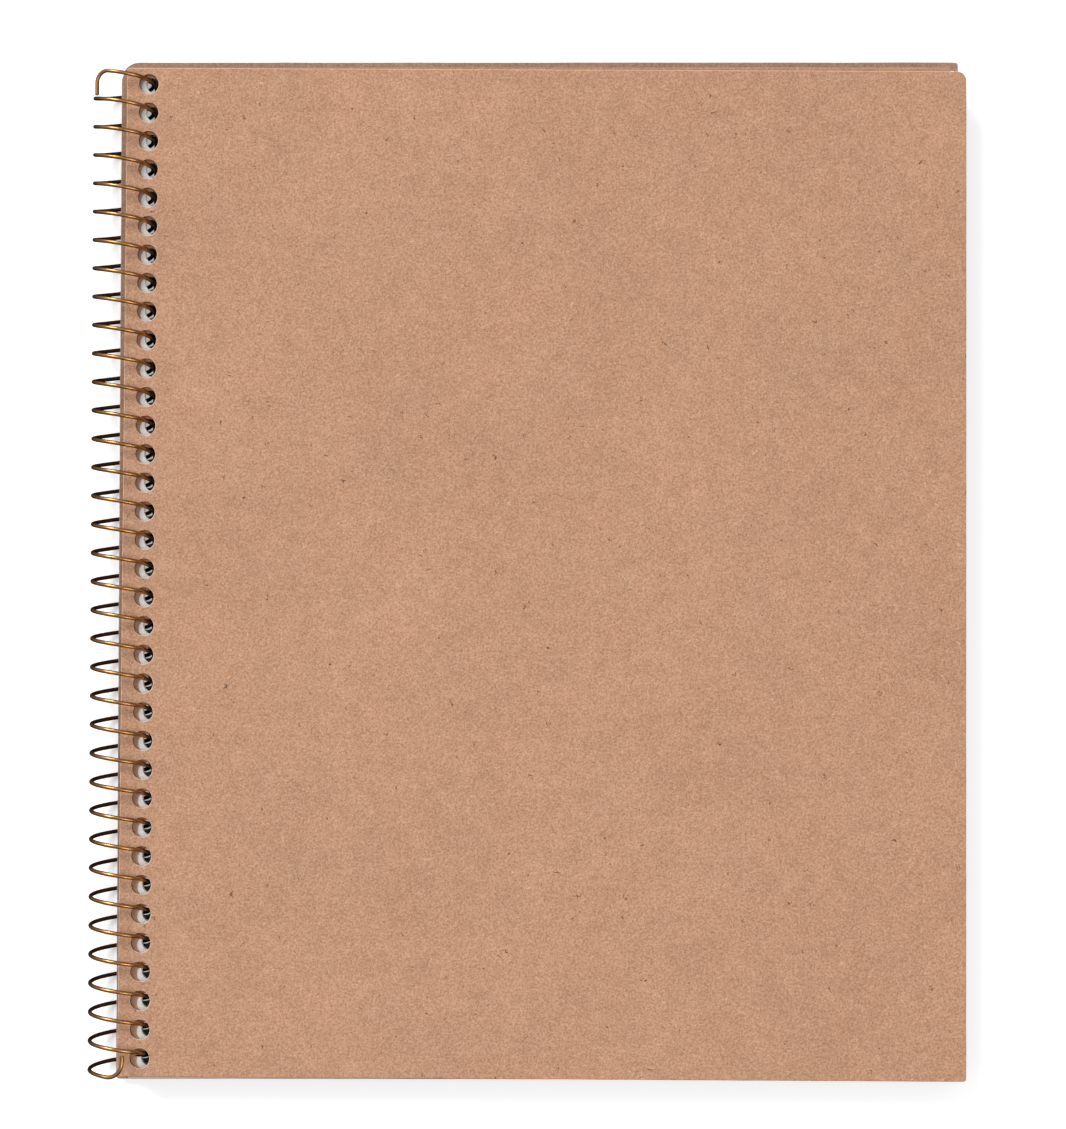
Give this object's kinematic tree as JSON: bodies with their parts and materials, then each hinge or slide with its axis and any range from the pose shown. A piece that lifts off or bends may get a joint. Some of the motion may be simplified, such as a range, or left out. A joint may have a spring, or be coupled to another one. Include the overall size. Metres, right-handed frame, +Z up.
{
  "type": "spiral-bound sketchbook",
  "caption": "Spiral-bound sketchbook: kraft board covers and white drawing sheets on one bronze wire coil, both covers turning about the coil.",
  "frame": {"origin": "under the middle of the closed book, on the surface it lies on", "axes": "+X from the spine to the fore edge, +Y along the spine towards the head, +Z up out of the front cover"},
  "size_m": [0.2434, 0.2844, 0.0185],
  "materials": {
    "kraft_board": "matte",
    "kraft_paper": "matte",
    "drawing_paper": "matte",
    "bronze_wire": "satin"
  },
  "bodies": {
    "book_block": {"spiral_coil": "bronze_wire", "head_tail": "bronze_wire", "foot_tail": "bronze_wire", "sheet_01": "drawing_paper", "sheet_02": "drawing_paper", "sheet_03": "drawing_paper", "sheet_04": "drawing_paper", "sheet_05": "drawing_paper", "sheet_06": "drawing_paper", "sheet_07": "drawing_paper", "sheet_08": "drawing_paper", "sheet_09": "drawing_paper", "sheet_10": "drawing_paper", "sheet_11": "drawing_paper", "sheet_12": "drawing_paper", "sheet_13": "drawing_paper", "sheet_14": "drawing_paper", "sheet_15": "drawing_paper", "sheet_16": "drawing_paper", "sheet_17": "drawing_paper", "sheet_18": "drawing_paper", "sheet_19": "drawing_paper", "sheet_20": "drawing_paper", "sheet_21": "drawing_paper", "sheet_22": "drawing_paper", "sheet_23": "drawing_paper", "sheet_24": "drawing_paper", "sheet_25": "drawing_paper", "sheet_26": "drawing_paper", "sheet_27": "drawing_paper", "sheet_28": "drawing_paper", "sheet_29": "drawing_paper", "sheet_30": "drawing_paper", "sheet_31": "drawing_paper", "sheet_32": "drawing_paper", "sheet_33": "drawing_paper", "sheet_34": "drawing_paper", "sheet_35": "drawing_paper", "sheet_36": "drawing_paper", "sheet_37": "drawing_paper", "sheet_38": "drawing_paper", "sheet_39": "drawing_paper", "sheet_40": "drawing_paper", "sheet_41": "drawing_paper", "sheet_42": "drawing_paper", "sheet_43": "drawing_paper", "sheet_44": "drawing_paper", "sheet_45": "drawing_paper", "sheet_46": "drawing_paper", "sheet_47": "drawing_paper", "sheet_48": "drawing_paper", "sheet_49": "drawing_paper"},
    "first_leaf": {"flyleaf": "kraft_paper"},
    "front_board": {"front_cover": "kraft_board"},
    "last_leaf": {"sheet_50": "drawing_paper"},
    "back_board": {"back_cover": "kraft_board"}
  },
  "joints": [
    {"name": "flyleaf_shift", "type": "slide", "parent": "book_block", "child": "first_leaf", "axis": [0, 1, 0], "range_m": [0, 0.00382]},
    {"name": "front_cover_open", "type": "hinge", "parent": "first_leaf", "child": "front_board", "pos_m": [-0.11275, 0, 0.00865], "axis": [0, -1, 0], "range_deg": [0, 180], "deforming": ["head_tail", "foot_tail"]},
    {"name": "last_sheet_shift", "type": "slide", "parent": "book_block", "child": "last_leaf", "axis": [0, -1, 0], "range_m": [0, 0.00382]},
    {"name": "back_cover_fold", "type": "hinge", "parent": "last_leaf", "child": "back_board", "pos_m": [-0.11275, 0, 0.00865], "axis": [0, 1, 0], "range_deg": [0, 180]}
  ],
  "couplings": [
    {"joint": "flyleaf_shift", "follows": "front_cover_open", "m_per_rad": 0.0012155},
    {"joint": "last_sheet_shift", "follows": "back_cover_fold", "m_per_rad": 0.0012155}
  ]
}
